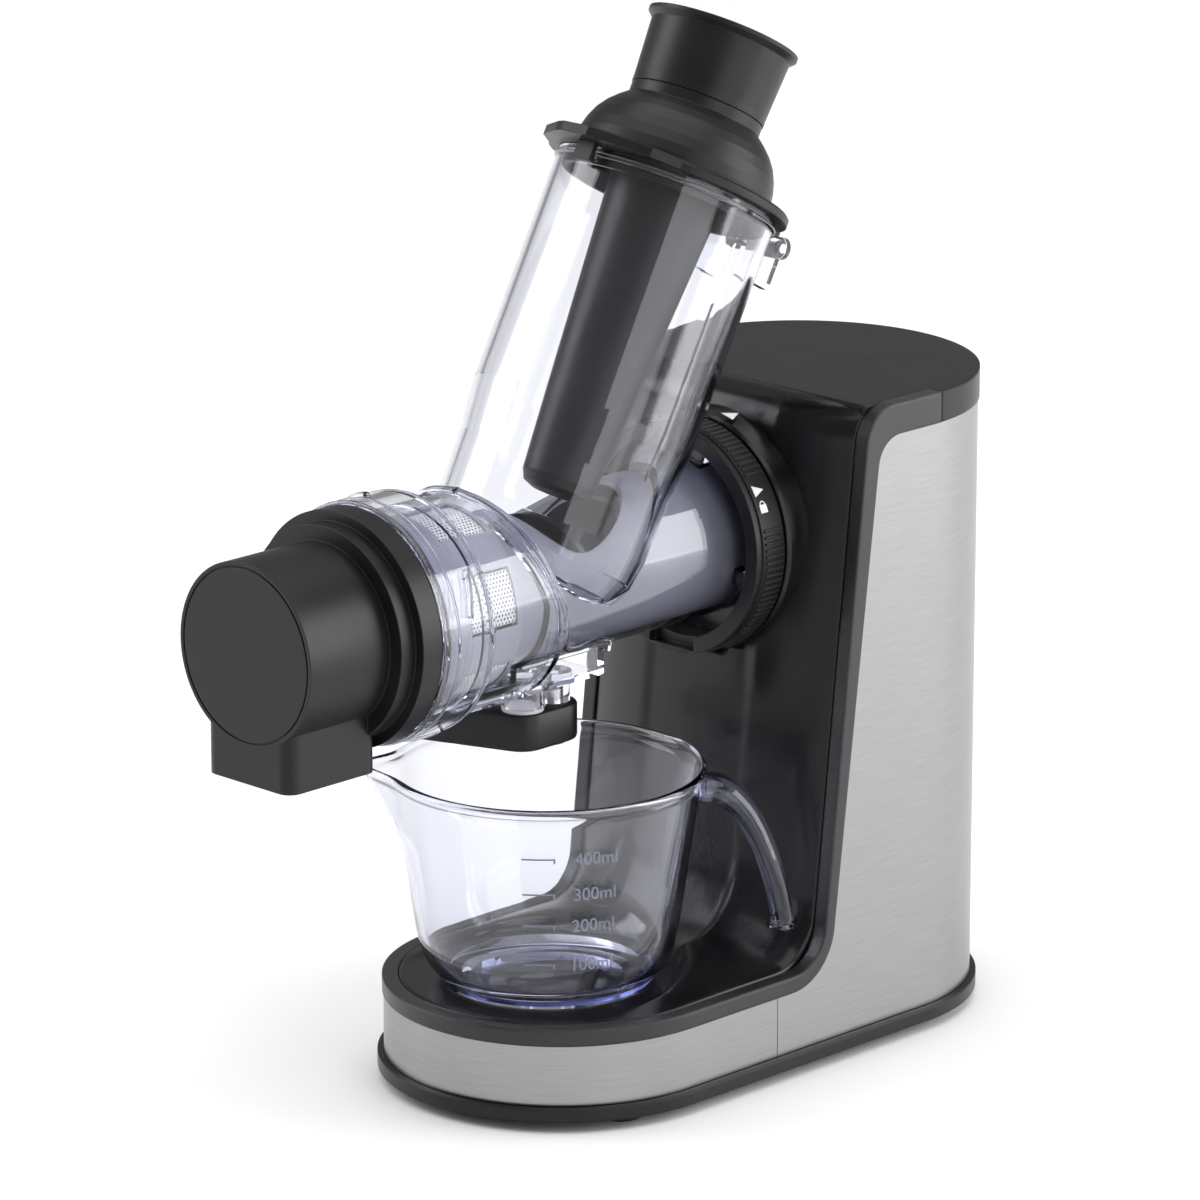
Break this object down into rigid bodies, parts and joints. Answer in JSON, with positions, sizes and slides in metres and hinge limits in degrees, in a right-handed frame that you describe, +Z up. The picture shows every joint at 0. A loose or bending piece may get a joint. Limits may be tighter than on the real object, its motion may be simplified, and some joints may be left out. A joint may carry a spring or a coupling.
{
  "type": "slow juicer",
  "caption": "Horizontal slow juicer: upright motor housing, clear pressing drum with a leaning feed tube and pusher, pulp cap, drip lever and a graduated jug on the foot.",
  "frame": {"origin": "centre of the base's footprint, on the surface that the rubber feet stand on", "axes": "+Z up; -Y to the front, where the pulp outlet is; +X to the right seen from the rear of the machine looking at the outlet; the drum axis is parallel to Y at x = 0"},
  "size_m": [0.1325, 0.3426, 0.3806],
  "materials": {
    "black_plastic": "satin",
    "gloss_black": "high gloss",
    "dark_trim": "satin",
    "brushed_steel": "brushed along the wrap",
    "rubber": "matt",
    "silicone": "soft",
    "clear_plastic": "clear, faint blue tint",
    "basket_plastic": "translucent lavender",
    "mesh_steel": "perforated",
    "screw_plastic": "satin",
    "housing_plastic": "moulded",
    "steel": "ground",
    "sintered": "sintered",
    "gear_plastic": "moulded",
    "gearbox": "die cast",
    "motor_steel": "plated",
    "magnet": "ferrite",
    "board": "coated",
    "switch_plastic": "moulded",
    "bronze": "sintered"
  },
  "bodies": {
    "base": {"base_plate": "black_plastic", "rubber_feet": "rubber", "base_screws": "steel", "inner_housing": "housing_plastic", "steel_side_wrap": "brushed_steel", "steel_front_band": "brushed_steel", "edge_trim": "dark_trim", "top_cover": "black_plastic", "front_panel": "gloss_black", "jug_tray": "gloss_black", "neck_collar": "gloss_black", "cord_inlet": "black_plastic", "switch_frame": "black_plastic", "circuit_board": "board", "interlock_switch": "switch_plastic", "gearbox_case": "gearbox", "gearbox_cover": "gearbox", "front_bearing": "steel", "rear_bearing": "steel", "idler_pin": "steel", "motor_can": "motor_steel", "motor_stator": "magnet", "motor_end_bell": "motor_steel", "drum": "clear_plastic", "strainer_basket": "basket_plastic", "strainer_mesh": "mesh_steel", "drum_seal": "silicone", "lid_hinge_pin": "steel", "lever_pin": "steel"},
    "screw_train": {"output_shaft": "steel", "output_gear": "sintered", "pressing_screw": "screw_plastic"},
    "idler": {"idler_gear": "steel"},
    "rotor": {"motor_rotor": "steel", "motor_pinion": "sintered", "cooling_fan": "gear_plastic"},
    "ring": {"lock_ring": "black_plastic"},
    "cap": {"pulp_cap": "black_plastic", "screw_end_bush": "bronze"},
    "lever": {"drip_lever": "black_plastic", "drip_seal": "silicone"},
    "lid": {"lid": "black_plastic", "lid_catch": "black_plastic"},
    "pusher": {"pusher": "black_plastic"},
    "rocker": {"power_rocker": "black_plastic"},
    "jug": {"jug": "clear_plastic"}
  },
  "joints": [
    {"name": "screw_spin", "type": "hinge", "parent": "base", "child": "screw_train", "pos_m": [0, 0, 0.187], "axis": [0, 1, 0], "continuous": true},
    {"name": "idler_spin", "type": "hinge", "parent": "base", "child": "idler", "pos_m": [0, 0.046, 0.14825], "axis": [0, 1, 0], "continuous": true},
    {"name": "rotor_spin", "type": "hinge", "parent": "base", "child": "rotor", "pos_m": [0, 0.054, 0.12025], "axis": [0, 1, 0], "continuous": true},
    {"name": "ring_twist", "type": "hinge", "parent": "base", "child": "ring", "pos_m": [0, 0.001, 0.187], "axis": [0, 1, 0], "range_deg": [0, 35]},
    {"name": "cap_twist", "type": "hinge", "parent": "base", "child": "cap", "pos_m": [0, -0.165, 0.187], "axis": [0, 1, 0], "range_deg": [0, 30]},
    {"name": "lever_swing", "type": "hinge", "parent": "base", "child": "lever", "pos_m": [0, -0.066, 0.133], "axis": [0, 0, 1], "range_deg": [-60, 0]},
    {"name": "lid_hinge", "type": "hinge", "parent": "base", "child": "lid", "pos_m": [0, 0.03745, 0.2879], "axis": [-1, 0, 0], "range_deg": [0, 8]},
    {"name": "pusher_slide", "type": "slide", "parent": "lid", "child": "pusher", "axis": [0, 0.4894, 0.8721], "range_m": [0, 0.18]},
    {"name": "power_rock", "type": "hinge", "parent": "base", "child": "rocker", "pos_m": [-0.0545, 0.062, 0.074], "axis": [0, 0, 1], "range_deg": [0, 10]},
    {"name": "jug_slide", "type": "slide", "parent": "base", "child": "jug", "axis": [0, -1, 0], "range_m": [0, 0.2]}
  ],
  "couplings": [
    {"joint": "idler_spin", "follows": "screw_spin", "ratio": -3.4286},
    {"joint": "rotor_spin", "follows": "screw_spin", "ratio": 12.571}
  ]
}
